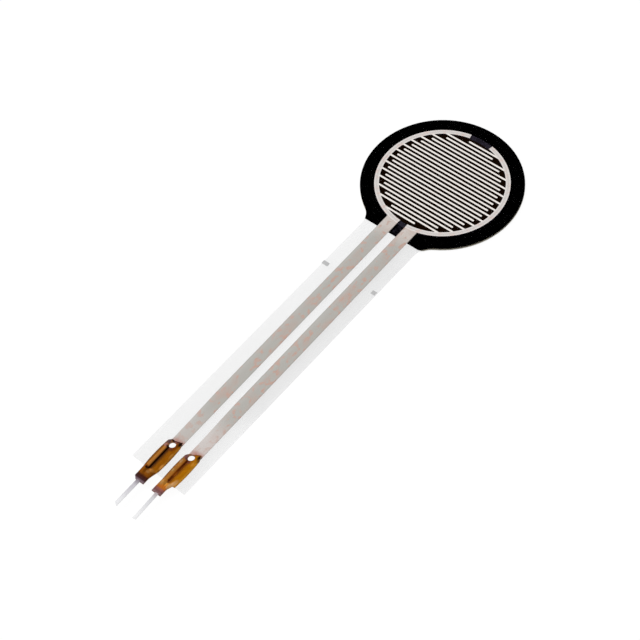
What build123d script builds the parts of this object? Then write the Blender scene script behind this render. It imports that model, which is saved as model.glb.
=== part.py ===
from build123d import *
import os
from math import radians, sqrt, tan

# A force sensing resistor: a round sensing head on a flat tail with two crimped solder terminals.
# Lengths are in millimetres. The origin is under the centre of the head, on the surface that the
# part lies on. +Z points up through the layers, the tail runs along -Y, the comb's fingers along X.

os.makedirs("parts", exist_ok=True)

# Outline that the cutting die gives every film
head_radius = 9.14
tail_width = 7.27
tail_reach = 47.2
tail_end_skew = 0.23
neck_fillet = 2.4
die_turn = -0.376

# Thickness of each layer, from the surface up
liner_thickness = 0.12
rear_adhesive_thickness = 0.08
back_film_thickness = 0.10
carbon_thickness = 0.02
spacer_thickness = 0.15
silver_thickness = 0.02
electrode_film_thickness = 0.10

# How far short of the disc's lowest point the black print, the rear adhesive and its liner stop
neck_margin = 0.09

# Air gap in the spacer: a round opening over the comb and a vent down the tail
opening_clearance = 0.04
vent_width = 0.70

# Printed silver comb, inside the disc's black rim
finger_count = 26
finger_width = 0.23
rim_width = 1.57
bus_width = 0.59
bus_gap_angle = 22.0
tip_gap = 0.54
shortest_reach = 1.10

# Printed silver traces, on the pitch of the solder pins
pin_pitch = 2.54
trace_width = 1.54
trace_margin = 0.60

# Register marks, cut through by the die at their outer ends
mark_reach = 16.42
mark_length = 0.53
mark_inner_end = 2.96

# Crimped terminals, stamped from sheet, that reach past the tail's end
sheet = 0.20
body_overhang = 0.25
body_length = 4.30
horn_reach = 0.17
head_edge_dip = 0.16
body_width = 1.86
body_end_width = 1.68
body_shift = 0.05
left_corner = 0.41
right_corner = 0.34
corner_drop = 0.46
bead_rise = 0.13
crown_rise = 0.11
seam_offset = 0.18
seam_width = 0.17
seam_depth = 0.16
seam_margin = 0.35
hook_radius = 0.20
hook_angle = 105.0
hole_radius = 0.40
hole_margin = 0.65
shoulder_length = 0.75
shank_length = 0.85
shank_width = 1.22
shank_shift = -0.10
shank_rise = 0.02
pin_length = 3.55
pin_width = 0.40
pin_tip_chamfer = 0.07
left_pin_turn = -0.4
right_pin_turn = 1.6

# Tines that pierce the films beside each trace's middle and fold under the back film
tine_count = 3
tine_length = 0.62
tine_pitch = 1.00
tine_margin = 1.40
tine_inset = 0.14
foot_reach = 0.42
foot_point = 0.30
bend_radius = 0.12
slit_clearance = 0.02

# Window through films and print, open below each terminal's hole
window_margin = 0.20

# Heights of the layers' lower faces
rear_adhesive_z = liner_thickness
back_film_z = rear_adhesive_z + rear_adhesive_thickness
spacer_z = back_film_z + back_film_thickness
electrode_film_z = spacer_z + spacer_thickness
silver_z = electrode_film_z - silver_thickness
film_top = electrode_film_z + electrode_film_thickness

# The comb fills the disc inside the rim, row after row
head_end = head_radius - neck_margin
bus_outer_radius = head_radius - rim_width
bus_inner_radius = bus_outer_radius - bus_width
tip_radius = bus_inner_radius - tip_gap
finger_pitch = 2 * tip_radius / (finger_count - 1)
opening_radius = bus_outer_radius + opening_clearance

# The traces and the terminals keep their places from the tail's end
trace_gap = pin_pitch - trace_width
trace_end = tail_reach - trace_margin
body_end = tail_reach + body_overhang
body_start = body_end - body_length
seam_end = body_end - seam_margin
hole_y = -body_start - hole_margin
shank_start = body_end + shoulder_length
shank_end = shank_start + shank_length
pin_end = shank_end + pin_length
tine_first = body_start + tine_margin
far = 2 * (pin_end + head_radius)
terminal_places = (-pin_pitch / 2, pin_pitch / 2)
tine_x = body_end_width / 2 - tine_inset - sheet / 2
tine_ys = [-tine_first - tine_pitch * place for place in range(tine_count)]
window_places = [(terminal_x, hole_y) for terminal_x in terminal_places]
slit_places = [
    (terminal_x + side * tine_x, y)
    for terminal_x in terminal_places
    for side in (-1, 1)
    for y in tine_ys
]


# The outline of the films: a disc and a tail with a slanted end, filleted at the neck
with BuildSketch() as blank:
    Circle(head_radius)
    Polygon(
        (-tail_width / 2, 0),
        (-tail_width / 2, -tail_reach + tail_end_skew / 2),
        (tail_width / 2, -tail_reach - tail_end_skew / 2),
        (tail_width / 2, 0),
        align=None,
    )
    neck_corners = blank.vertices().filter_by_position(Axis.Y, -head_radius, -head_radius / 2)
    fillet(neck_corners, neck_fillet)

# The die meets the print slightly turned, so every cut edge is turned and the print is not
with BuildSketch() as die_outline:
    add(blank.sketch, rotation=die_turn)

# The part of the outline that the black print and the rear adhesive cover
with BuildSketch() as head_outline:
    add(die_outline.sketch)
    with Locations((0, -head_end + far / 2)):
        Rectangle(far, far, mode=Mode.INTERSECT)

# The slits through the films that the tines pass, and the windows below the terminals' holes
with BuildSketch() as piercings:
    with Locations(*slit_places):
        Rectangle(sheet + 2 * slit_clearance, tine_length + 2 * slit_clearance)
    with Locations(*window_places):
        Circle(hole_radius + window_margin)


def finger(row, side):
    """Adds one finger of the comb to the open sketch, from its bus to its round tip."""
    y = tip_radius - finger_pitch * row
    root = sqrt((bus_outer_radius - bus_width / 2) ** 2 - y**2)
    tip = max(sqrt(max(tip_radius**2 - y**2, 0)), shortest_reach) - finger_width / 2
    with Locations((side * (root - tip) / 2, y)):
        Rectangle(root + tip, finger_width)
    with Locations((-side * tip, y)):
        Circle(finger_width / 2)


def electrode(side):
    """One printed electrode: a bus round half the comb, its trace down the tail and its fingers."""
    half_gap = tan(radians(bus_gap_angle / 2))
    with BuildPart() as print_half:
        with BuildSketch(Plane.XY.offset(silver_z)):
            Circle(bus_outer_radius)
            with Locations((side * pin_pitch / 2, -trace_end / 2)):
                Rectangle(trace_width, trace_end)
            Circle(bus_inner_radius, mode=Mode.SUBTRACT)
            Polygon(
                (side * trace_gap / 2, -far),
                (side * far, -far),
                (side * far, far),
                (side * far * half_gap, far),
                (side * trace_gap / 2, trace_gap / 2 / half_gap),
                align=None,
                mode=Mode.INTERSECT,
            )
            for row in range(0 if side > 0 else 1, finger_count, 2):
                finger(row, side)
            add(piercings.sketch, mode=Mode.SUBTRACT)
        extrude(amount=silver_thickness)
    return print_half


def crimp_section(left, right, seam, left_rise, right_rise):
    """Draws a terminal's section in the open line: flat below, a bead and a broad crown above."""
    top = film_top + sheet
    Line((right, film_top), (left, film_top))
    Line((left, film_top), (left, top))
    ThreePointArc((left, top), ((left + seam) / 2, top + left_rise), (seam, top))
    ThreePointArc((seam, top), ((seam + right) / 2, top + right_rise), (right, top))
    Line((right, top), (right, film_top))


def terminal(centre_x, pin_turn):
    """One stamped terminal: a plate with a bead and a crown, a shank, a pin, and folded tines."""
    seam_x = centre_x - seam_offset
    body_x = centre_x + body_shift
    shank_x = centre_x + shank_shift
    body_top = film_top + sheet + bead_rise + crown_rise
    with BuildPart() as contact:
        # Body: the section drawn along the trace
        with BuildSketch(Plane.XZ.offset(body_start - horn_reach)):
            with BuildLine():
                half = body_width / 2
                crimp_section(body_x - half, body_x + half, seam_x, bead_rise, crown_rise)
            make_face()
        extrude(amount=body_end - body_start + horn_reach)

        # Plan of the body: clipped corners and a dip at the head end, sides that bow and draw in
        with BuildSketch(Plane.XY):
            with BuildLine():
                middle = -(body_start + body_end) / 2
                left_horn = (body_x - body_width / 2 + left_corner, -body_start)
                right_horn = (body_x + body_width / 2 - right_corner, -body_start + horn_reach)
                left_side = (body_x - body_end_width / 2, -body_start - corner_drop)
                right_side = (body_x + body_end_width / 2, -body_start - corner_drop)
                left_end = (body_x - body_end_width / 2, -body_end)
                right_end = (body_x + body_end_width / 2, -body_end)
                dip = ((left_horn[0] + right_horn[0]) / 2, -body_start + horn_reach / 2 - head_edge_dip)
                ThreePointArc(left_horn, dip, right_horn)
                Line(left_horn, left_side)
                Line(right_horn, right_side)
                ThreePointArc(left_side, (body_x - body_width / 2, middle), left_end)
                ThreePointArc(right_side, (body_x + body_width / 2, middle), right_end)
                Line(left_end, right_end)
            make_face()
        extrude(amount=body_top, mode=Mode.INTERSECT)

        # Shoulder: the bead and the crown fade into the flat shank
        with BuildSketch(Plane.XZ.offset(body_end)):
            with BuildLine():
                half = body_end_width / 2
                crimp_section(body_x - half, body_x + half, seam_x, bead_rise, crown_rise)
            make_face()
        with BuildSketch(Plane.XZ.offset(shank_start)):
            with BuildLine():
                half = shank_width / 2
                crimp_section(shank_x - half, shank_x + half, seam_x, shank_rise, shank_rise)
            make_face()
        loft()

        # Shank
        with BuildSketch(Plane.XY.offset(film_top)):
            with Locations((shank_x, -(shank_start + shank_end) / 2)):
                Rectangle(shank_width, shank_end - shank_start)
        extrude(amount=sheet)

        # Pin, a little bent from straight, with its tip's corners broken
        pin_root = Location((shank_x, -shank_end, film_top), (0, 0, pin_turn))
        with BuildSketch(Plane(pin_root)):
            with Locations((0, -(pin_length - pin_width) / 2)):
                Rectangle(pin_width, pin_length + pin_width)
        extrude(amount=sheet)
        tip_edges = contact.faces().sort_by(Axis.Y)[0].edges().filter_by(Axis.Z)
        chamfer(tip_edges, pin_tip_chamfer)

        # Seam between bead and crown, hooked round the bead's end
        with BuildSketch(Plane.XY.offset(film_top + sheet - seam_depth)):
            with BuildLine():
                run = Line((seam_x, hole_y), (seam_x, -seam_end))
                JernArc(start=run @ 1, tangent=run % 1, radius=hook_radius, arc_size=-hook_angle)
            trace(line_width=seam_width)
        extrude(amount=seam_depth + bead_rise + crown_rise, mode=Mode.SUBTRACT)

        # Hole at the head end of the plate
        with BuildSketch(Plane.XY.offset(film_top)):
            with Locations((centre_x, hole_y)):
                Circle(hole_radius)
        extrude(amount=sheet + bead_rise + crown_rise, mode=Mode.SUBTRACT)

        # Tines, down through the films and folded in under the back film
        for side in (-1, 1):
            outer = centre_x + side * (tine_x + sheet / 2)
            inner = centre_x + side * (tine_x - sheet / 2)
            foot = inner - side * foot_reach
            foot_z = back_film_z - sheet
            for y in tine_ys:
                with BuildSketch(Plane.XZ.offset(-y - tine_length / 2)) as tine:
                    Polygon(
                        (outer, film_top),
                        (inner, film_top),
                        (inner, back_film_z),
                        (foot, back_film_z),
                        (foot + side * foot_point, foot_z),
                        (outer, foot_z),
                        align=None,
                    )
                    bend = tine.vertices().group_by(Axis.Y)[0].sort_by(Axis.X)
                    fillet(bend[-1 if side > 0 else 0], bend_radius)
                extrude(amount=tine_length)
    return contact


# Peel-off liner under the head
with BuildPart() as release_liner:
    with BuildSketch(Plane.XY):
        add(head_outline.sketch)
    extrude(amount=liner_thickness)

# Adhesive that holds the head to what it is stuck on
with BuildPart() as rear_adhesive:
    with BuildSketch(Plane.XY.offset(rear_adhesive_z)):
        add(head_outline.sketch)
    extrude(amount=rear_adhesive_thickness)

# Back film, which carries the black print
with BuildPart() as back_film:
    with BuildSketch(Plane.XY.offset(back_film_z)):
        add(die_outline.sketch)
        add(piercings.sketch, mode=Mode.SUBTRACT)
    extrude(amount=back_film_thickness)

# Black pressure-sensitive print on the back film's upper face
with BuildPart() as semiconductor_ink:
    with BuildSketch(Plane.XY.offset(spacer_z)):
        add(head_outline.sketch)
    extrude(amount=carbon_thickness)

# Silver electrodes on the electrode film's lower face
left_electrode = electrode(-1)
right_electrode = electrode(1)

# Two short printed dashes at the tail's edges
with BuildPart() as register_marks:
    with BuildSketch(Plane.XY.offset(silver_z)):
        for side in (-1, 1):
            with Locations((side * (mark_inner_end + tail_width / 2), -mark_reach)):
                Rectangle(tail_width, mark_length)
        add(die_outline.sketch, mode=Mode.INTERSECT)
    extrude(amount=silver_thickness)

# Adhesive between the films, recessed for the prints, with the air gap and the vent left open
with BuildPart() as spacer_adhesive:
    with BuildSketch(Plane.XY.offset(spacer_z)):
        add(die_outline.sketch)
        Circle(opening_radius, mode=Mode.SUBTRACT)
        with Locations((0, -far / 2)):
            Rectangle(vent_width, far, mode=Mode.SUBTRACT)
        add(piercings.sketch, mode=Mode.SUBTRACT)
    extrude(amount=spacer_thickness)
    for printed in (semiconductor_ink, left_electrode, right_electrode, register_marks):
        add(printed.part, mode=Mode.SUBTRACT)

# Clear film that carries the electrodes, printed side down
with BuildPart() as electrode_film:
    with BuildSketch(Plane.XY.offset(electrode_film_z)):
        add(die_outline.sketch)
        add(piercings.sketch, mode=Mode.SUBTRACT)
    extrude(amount=electrode_film_thickness)

# Solder terminals, one on each trace
left_terminal = terminal(terminal_places[0], left_pin_turn)
right_terminal = terminal(terminal_places[1], right_pin_turn)

release_liner.part.label = "release_liner"
rear_adhesive.part.label = "rear_adhesive"
back_film.part.label = "back_film"
semiconductor_ink.part.label = "semiconductor_ink"
spacer_adhesive.part.label = "spacer_adhesive"
left_electrode.part.label = "left_electrode"
right_electrode.part.label = "right_electrode"
register_marks.part.label = "register_marks"
electrode_film.part.label = "electrode_film"
left_terminal.part.label = "left_terminal"
right_terminal.part.label = "right_terminal"

export_step(release_liner.part, "parts/release_liner.step")
export_step(rear_adhesive.part, "parts/rear_adhesive.step")
export_step(back_film.part, "parts/back_film.step")
export_step(semiconductor_ink.part, "parts/semiconductor_ink.step")
export_step(spacer_adhesive.part, "parts/spacer_adhesive.step")
export_step(left_electrode.part, "parts/left_electrode.step")
export_step(right_electrode.part, "parts/right_electrode.step")
export_step(register_marks.part, "parts/register_marks.step")
export_step(electrode_film.part, "parts/electrode_film.step")
export_step(left_terminal.part, "parts/left_terminal.step")
export_step(right_terminal.part, "parts/right_terminal.step")
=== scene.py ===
"""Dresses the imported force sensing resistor: films, prints, terminals, and the studio they lie in.

Lengths are in metres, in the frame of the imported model: +Z up through the layers, the tail along -Y.
"""

import logging
import math
from dataclasses import dataclass, field
from enum import Enum
from typing import Union

import bmesh
import bpy
from mathutils import Matrix, Vector


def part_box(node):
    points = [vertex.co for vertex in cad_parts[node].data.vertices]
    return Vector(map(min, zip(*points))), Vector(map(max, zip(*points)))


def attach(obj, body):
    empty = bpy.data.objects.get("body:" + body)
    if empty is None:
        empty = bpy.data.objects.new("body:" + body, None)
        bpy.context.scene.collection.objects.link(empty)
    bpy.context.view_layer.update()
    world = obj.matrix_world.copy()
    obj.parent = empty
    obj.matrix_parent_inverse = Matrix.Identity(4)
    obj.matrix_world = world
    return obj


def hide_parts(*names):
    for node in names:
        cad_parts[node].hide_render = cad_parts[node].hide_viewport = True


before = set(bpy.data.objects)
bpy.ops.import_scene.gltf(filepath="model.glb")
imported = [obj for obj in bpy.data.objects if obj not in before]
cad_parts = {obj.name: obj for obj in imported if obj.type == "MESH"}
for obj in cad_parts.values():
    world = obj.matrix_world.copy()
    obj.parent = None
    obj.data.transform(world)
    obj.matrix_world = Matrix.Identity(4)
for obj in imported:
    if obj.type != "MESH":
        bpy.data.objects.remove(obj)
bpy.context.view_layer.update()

log = logging.getLogger("force_sensing_resistor")

MM = 0.001
ROOT = "root"
# Name of the terminals' colour attribute, which holds their tarnish with painted highlight and shade
TARNISH_AND_PAINTED_LIGHT = "tarnish"
ROOTWARD = "rootward"

NOISE_LOW = 0.3
NOISE_HIGH = 0.7
TOLERANCE = 1e-7

Triple = tuple[float, float, float]
Colour = Triple
Pair = tuple[float, float]
Socket = bpy.types.NodeSocket
Material = bpy.types.Material
Mesh = bpy.types.Mesh
Object = bpy.types.Object
Feed = Union[Socket, float, tuple]


def srgb(red: int, green: int, blue: int) -> Colour:
    """Turns a colour of 0 to 255 per channel into the linear values that shaders take.

    Args:
        red: Red channel.
        green: Green channel.
        blue: Blue channel.

    Returns:
        The linear colour.
    """
    channels = []
    for value in (red, green, blue):
        share = value / 255
        channels.append(share / 12.92 if share <= 0.04045 else ((share + 0.055) / 1.055) ** 2.4)
    return tuple(channels)


def clamped(value: float) -> float:
    """Keeps a share between 0 and 1."""
    return min(max(value, 0.0), 1.0)


def arch(share: float) -> float:
    """Rises from 0 at either end of a share's range to 1 in its middle."""
    return 4 * share * (1 - share)


def ease(low: float, high: float, value: float) -> float:
    """Rises smoothly from 0 at low to 1 at high, which may also be the lower of the two."""
    share = clamped((value - low) / (high - low))
    return share * share * (3 - 2 * share)


def blended(under: Colour, over: Colour, share: float) -> Colour:
    """Lays one colour over another, of which a share from 0 to 1 shows."""
    return tuple(a + (b - a) * share for a, b in zip(under, over))


class Slot(Enum):
    """The record's material slots."""

    FILM = "clear_film"
    ADHESIVE = "clear_adhesive"
    SILVER = "silver_print"
    MARKS = "grey_print"
    CARBON = "black_print"
    LINER = "liner_paper"
    TERMINAL = "terminal_metal"


class Side(Enum):
    """The two halves of the comb, traces and terminals, by the sign of X."""

    LEFT = -1
    RIGHT = 1


# Shader and geometry trees


class NodeDraft:
    """A node tree under construction, with short calls for the nodes that are used again and again."""

    def __init__(self, tree: bpy.types.NodeTree) -> None:
        """Starts on the tree that nodes are added to."""
        self.tree = tree

    def add(self, kind: str, feeds: dict[Union[int, str], Feed], **settings: object) -> bpy.types.Node:
        """Adds a node.

        Args:
            kind: The node's type name.
            feeds: What goes into each input, by name or place: a socket to link or a value to set.
            settings: The node's own settings.

        Returns:
            The node.
        """
        node = self.tree.nodes.new(kind)
        for name, value in settings.items():
            setattr(node, name, value)
        for name, value in feeds.items():
            self.feed(node.inputs[name], value)
        return node

    def get(self, kind: str, feeds: dict[Union[int, str], Feed], **settings: object) -> Socket:
        """Adds a node and gives its first output."""
        return self.add(kind, feeds, **settings).outputs[0]

    def feed(self, socket: Socket, value: Feed) -> None:
        """Links a socket to another, or sets its value.

        Args:
            socket: The input.
            value: The socket that feeds it, or the value that it keeps.
        """
        if isinstance(value, Socket):
            self.tree.links.new(value, socket)
        else:
            socket.default_value = value

    def math(self, operation: str, *values: Feed) -> Socket:
        """Adds a Math node with its inputs in order, and gives its result."""
        return self.get("ShaderNodeMath", dict(enumerate(values)), operation=operation)

    def times(self, one: Feed, other: Feed) -> Socket:
        """Multiplies two numbers."""
        return self.math("MULTIPLY", one, other)

    def plus(self, one: Feed, other: Feed) -> Socket:
        """Adds two numbers."""
        return self.math("ADD", one, other)

    def minus(self, one: Feed, other: Feed) -> Socket:
        """Takes the second number from the first."""
        return self.math("SUBTRACT", one, other)

    def split(self, vector: Socket) -> tuple[Socket, Socket, Socket]:
        """Gives a vector's three numbers."""
        return tuple(self.add("ShaderNodeSeparateXYZ", {0: vector}).outputs)

    def vector(self, x: Feed, y: Feed, z: Feed) -> Socket:
        """Joins three numbers into a vector."""
        return self.get("ShaderNodeCombineXYZ", {"X": x, "Y": y, "Z": z})

    def level(self, value: Feed, low: Feed, high: Feed, at_low: float, at_high: float) -> Socket:
        """Maps the range from low to high onto the one from at_low to at_high, with smooth ends."""
        feeds = {"Value": value, "From Min": low, "From Max": high, "To Min": at_low, "To Max": at_high}
        return self.get("ShaderNodeMapRange", feeds, interpolation_type="SMOOTHSTEP")


class FinishDraft(NodeDraft):
    """A material under construction around one Principled shader, patterned in Object coordinates."""

    def __init__(self, name: str) -> None:
        """Makes the material.

        Args:
            name: The material's name.
        """
        self.material = bpy.data.materials.new(name)
        self.material.use_nodes = True
        super().__init__(self.material.node_tree)
        self.surface = self.tree.nodes["Principled BSDF"]
        self.place = self.add("ShaderNodeTexCoord", {}).outputs["Object"]

    def set(self, **values: Feed) -> None:
        """Feeds the shader's sockets by name, with underscores for spaces."""
        for name, value in values.items():
            self.feed(self.surface.inputs[name.replace("_", " ")], value)

    def noise(self, size: float, detail: float = 3.0, stretch: Triple = (1, 1, 1)) -> Socket:
        """Adds noise whose patches are about as large as size, finer along an axis by its stretch."""
        spread = self.get("ShaderNodeMapping", {"Vector": self.place, "Scale": stretch})
        return self.get("ShaderNodeTexNoise", {"Vector": spread, "Scale": 1 / size, "Detail": detail})

    def varied(self, pattern: Socket, at_low: float, at_high: float) -> Socket:
        """Maps the range that noise mostly keeps to onto another range."""
        return self.level(pattern, NOISE_LOW, NOISE_HIGH, at_low, at_high)

    def mix(self, share: Feed, under: Feed, over: Feed, blend: str = "MIX") -> Socket:
        """Lays one colour over another.

        Args:
            share: How much of the top colour shows.
            under: The colour below.
            over: The colour on top.
            blend: The blend mode.

        Returns:
            The mixed colour's socket.
        """
        node = self.add("ShaderNodeMix", {0: share}, data_type="RGBA", blend_type=blend)
        self.feed(node.inputs[6], under if isinstance(under, Socket) else (*under, 1))
        self.feed(node.inputs[7], over if isinstance(over, Socket) else (*over, 1))
        return node.outputs[2]

    def radius(self) -> Socket:
        """Measures how far each point is from the head's middle."""
        x, y, _ = self.split(self.place)
        return self.math("SQRT", self.plus(self.times(x, x), self.times(y, y)))

    def bump(self, height: Feed, depth: float) -> None:
        """Raises the surface by a pattern, a full step of which rises by the depth."""
        node = self.add("ShaderNodeBump", {"Height": height, "Distance": depth, "Strength": 1.0})
        self.set(Normal=node.outputs[0])


# Finishes


@dataclass(frozen=True)
class ClearFilm:
    """Clear polyester or adhesive: a faint neutral veil with a soft sheen, thicker beside one trace as
    painted shade.
    """

    name: str
    tint: Colour
    veil: float
    roughness: float
    wave: float
    painted_shade: float = 0.0
    sheen: float = 0.5
    streak: Colour = (0.02, 0.02, 0.02)
    streak_size: float = 1.6 * MM
    wave_size: float = 2.4 * MM
    shade_across: Pair = (1.0 * MM, 1.9 * MM)
    shade_along: Pair = (-39 * MM, -35 * MM)
    shade_share_down_tail: float = 0.2
    refraction: float = 1.58

    def make(self) -> Material:
        """Builds the material, whose veil dims what lies below it a little.

        Returns:
            The material.
        """
        draft = FinishDraft(self.name)
        streaks = draft.noise(self.streak_size, 4.0, (1, 0.25, 1))
        draft.set(
            Base_Color=draft.mix(draft.varied(streaks, 0, 0.2), self.tint, self.streak),
            Roughness=draft.varied(streaks, self.roughness * 0.7, self.roughness * 1.3),
            Alpha=self._veiled(draft) if self.painted_shade > 0 else self.veil,
            Specular_IOR_Level=self.sheen,
            IOR=self.refraction,
        )
        draft.bump(draft.noise(self.wave_size, 1.0), self.wave)
        return draft.material

    def _veiled(self, draft: FinishDraft) -> Socket:
        """Thickens the veil beside the right trace, as painted shade.

        Args:
            draft: The material under construction.

        Returns:
            The veil's socket.
        """
        x, y, _ = draft.split(draft.place)
        beside = draft.level(x, *self.shade_across, 0, self.painted_shade)
        along = draft.level(y, *self.shade_along, self.shade_share_down_tail, 1)
        return draft.plus(self.veil, draft.times(beside, along))


@dataclass(frozen=True)
class SilverInk:
    """Screen-printed silver: fine flake grain, faint warm blotches, and a duller arc on a bus."""

    name: str
    tone: Colour
    blotch: Colour
    blotch_share: float
    roughness: float = 0.5
    arc: float = 0.0
    trough: float = 0.0
    dull: Colour = (0.1, 0.1, 0.1)
    blotch_size: float = 0.55 * MM
    blotch_range: Pair = (0.5, 0.68)
    flake_size: float = 0.03 * MM
    flake_depth: float = 0.002 * MM
    flake_share: float = 0.1
    trough_fade: Pair = (0.02 * MM, 0.2 * MM)
    metallic: float = 0.15
    sheen: float = 0.3

    def make(self) -> Material:
        """Builds the material.

        Returns:
            The material.
        """
        draft = FinishDraft(self.name)
        blotches = draft.noise(self.blotch_size, 2.0)
        patches = draft.level(blotches, *self.blotch_range, 0, self.blotch_share)
        flakes = draft.noise(self.flake_size, 2.0)
        toned = draft.mix(patches, self.tone, self.blotch)
        if self.trough > 0:
            from_arc = draft.math("ABSOLUTE", draft.minus(draft.radius(), self.arc))
            dulled = draft.level(from_arc, *self.trough_fade, self.trough, 0)
            toned = draft.mix(dulled, toned, self.dull)
        draft.set(
            Base_Color=draft.mix(draft.varied(flakes, self.flake_share, 0), toned, self.dull),
            Metallic=self.metallic,
            Roughness=draft.varied(flakes, self.roughness - 0.1, self.roughness + 0.1),
            Specular_IOR_Level=self.sheen,
        )
        draft.bump(flakes, self.flake_depth)
        return draft.material


@dataclass(frozen=True)
class TraceInk:
    """The traces' silver, greyer than the comb, with pink tarnish in patches and where the metal starts."""

    name: str
    tone: Colour
    over_black: Colour
    far_left: Colour
    far_right: Colour
    blotch: Colour
    scorch: Colour
    centre: float
    half_width: float
    black_end: float
    metal_start: float
    dull: Colour = (0.12, 0.12, 0.11)
    black_fade: Pair = (-1.0 * MM, 1.6 * MM)
    metal_fade: Pair = (-6.0 * MM, -2.0 * MM)
    scorch_fade: Pair = (-0.75 * MM, -0.05 * MM)
    cool_end: float = -0.1 * MM
    cool_share: float = 0.35
    warm_size: float = 1.5 * MM
    warm_range: Pair = (0.46, 0.7)
    warm_share: float = 0.45
    cloud_size: float = 0.6 * MM
    cloud_range: Pair = (0.54, 0.64)
    mottle_size: float = 0.2 * MM
    mottle_range: Pair = (0.34, 0.54)
    mottle_share: float = 0.55
    cleaner_share: float = 0.55
    lit_share: float = 0.09
    rim: float = 0.12 * MM
    rim_share: float = 0.28
    flake_size: float = 0.05 * MM
    flake_depth: float = 0.003 * MM
    flake_share: float = 0.18
    roughness: Pair = (0.42, 0.6)
    metallic: float = 0.15
    sheen: float = 0.3

    def make(self) -> Material:
        """Builds the material.

        Returns:
            The material.
        """
        draft = FinishDraft(self.name)
        x, y, _ = draft.split(draft.place)
        down = draft.times(y, -1.0)
        across = draft.minus(x, draft.times(draft.math("SIGN", x), self.centre))
        near_metal = self._from(draft, down, self.metal_start, self.metal_fade)
        colour = self._toned(draft, x, down, near_metal)
        cleaner = draft.level(near_metal, 0, 1, 1, self.cleaner_share)
        colour = draft.mix(draft.times(self._blotches(draft), cleaner), colour, self.blotch)
        # Painted highlight: the left half of each trace is mixed towards white
        colour = draft.mix(draft.level(across, -self.half_width, 0.0, self.lit_share, 0), colour, (1, 1, 1))
        heated = self._from(draft, down, self.metal_start, self.scorch_fade)
        hot_side = draft.level(across, -self.half_width, self.cool_end, self.cool_share, 1)
        colour = draft.mix(draft.times(heated, hot_side), colour, self.scorch)
        from_middle = draft.math("ABSOLUTE", across)
        rim = draft.level(from_middle, self.half_width - self.rim, self.half_width, 0, self.rim_share)
        flakes = draft.noise(self.flake_size, 3.0)
        dulled = draft.plus(rim, draft.varied(flakes, self.flake_share, 0))
        draft.set(
            Base_Color=draft.mix(dulled, colour, self.dull),
            Metallic=self.metallic,
            Roughness=draft.varied(flakes, *self.roughness),
            Specular_IOR_Level=self.sheen,
        )
        draft.bump(flakes, self.flake_depth)
        return draft.material

    def _from(self, draft: FinishDraft, down: Socket, place: float, fade: Pair) -> Socket:
        """Rises from 0 to 1 down the part, over a stretch that is given from a place on it."""
        return draft.level(down, place + fade[0], place + fade[1], 0, 1)

    def _toned(self, draft: FinishDraft, x: Socket, down: Socket, near_metal: Socket) -> Socket:
        """Changes the silver's tone from the black neck to the terminals.

        Args:
            draft: The material under construction.
            x: Place across the part.
            down: Place down the part.
            near_metal: How near the terminals it is, from 0 to 1.

        Returns:
            The colour's socket.
        """
        past_black = self._from(draft, down, self.black_end, self.black_fade)
        far_tone = draft.mix(draft.math("GREATER_THAN", x, 0.0), self.far_left, self.far_right)
        return draft.mix(near_metal, draft.mix(past_black, self.over_black, self.tone), far_tone)

    def _blotches(self, draft: FinishDraft) -> Socket:
        """Spreads the tarnish: broad warm areas, with smaller mottled clouds over them.

        Args:
            draft: The material under construction.

        Returns:
            The tarnish's socket, from 0 to 1.
        """
        warm = draft.noise(self.warm_size, 2.0, (1.2, 0.6, 1))
        clouds = draft.noise(self.cloud_size, 1.0, (1.2, 0.8, 1))
        mottle = draft.noise(self.mottle_size, 2.0)
        mottled = draft.times(
            draft.level(clouds, *self.cloud_range, 0, 1),
            draft.level(mottle, *self.mottle_range, self.mottle_share, 1),
        )
        return draft.math("MAXIMUM", draft.level(warm, *self.warm_range, 0, self.warm_share), mottled)


@dataclass(frozen=True)
class CarbonInk:
    """Deep black print, browner under the comb and lighter where air and not adhesive lies on it."""

    name: str
    wet: Colour
    worn: Colour
    dry: Colour
    ring_inner: float
    ring_outer: float
    vent_half: float
    soft: float = 0.06 * MM
    cloud_size: float = 0.5 * MM
    cloud_range: Pair = (0.35, 0.65)
    cloud_shares: Pair = (0.6, 1.0)
    spot_size: float = 0.3 * MM
    spot_range: Pair = (0.45, 0.62)
    spot_shares: Pair = (0.06, 0.5)
    grain_size: float = 0.05 * MM
    grain_depth: float = 0.002 * MM
    roughness: Pair = (0.55, 0.75)

    def make(self) -> Material:
        """Builds the material, with the dry shade in the bus gap and down the vent.

        Returns:
            The material.
        """
        draft = FinishDraft(self.name)
        grain = draft.noise(self.grain_size, 3.0)
        under_comb = self._within(draft, draft.radius(), self.ring_inner)
        draft.set(
            Base_Color=draft.mix(self._dryness(draft), draft.mix(under_comb, self.wet, self.worn), self.dry),
            Roughness=draft.varied(grain, *self.roughness),
            Specular_IOR_Level=0.0,
        )
        draft.bump(grain, self.grain_depth)
        return draft.material

    def _within(self, draft: FinishDraft, value: Socket, limit: float) -> Socket:
        """Tells softly, by 1 or 0, whether a measure stays within a limit."""
        return draft.level(value, limit - self.soft, limit + self.soft, 1, 0)

    def _dryness(self, draft: FinishDraft) -> Socket:
        """Marks where no adhesive wets the print: the ring that shows in the bus gap, and the vent.

        Args:
            draft: The material under construction.

        Returns:
            The dry places' socket, from 0 to 1.
        """
        x, y, _ = draft.split(draft.place)
        radius = draft.radius()
        past_inner = draft.minus(1.0, self._within(draft, radius, self.ring_inner))
        ring = draft.times(past_inner, self._within(draft, radius, self.ring_outer))
        in_vent = self._within(draft, draft.math("ABSOLUTE", x), self.vent_half)
        vent = draft.times(in_vent, self._within(draft, y, -self.ring_inner))
        clouds = draft.level(draft.noise(self.cloud_size, 3.0), *self.cloud_range, *self.cloud_shares)
        spots = draft.level(draft.noise(self.spot_size, 2.0), *self.spot_range, *self.spot_shares)
        return draft.math("MAXIMUM", draft.times(ring, clouds), draft.times(vent, spots))


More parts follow.
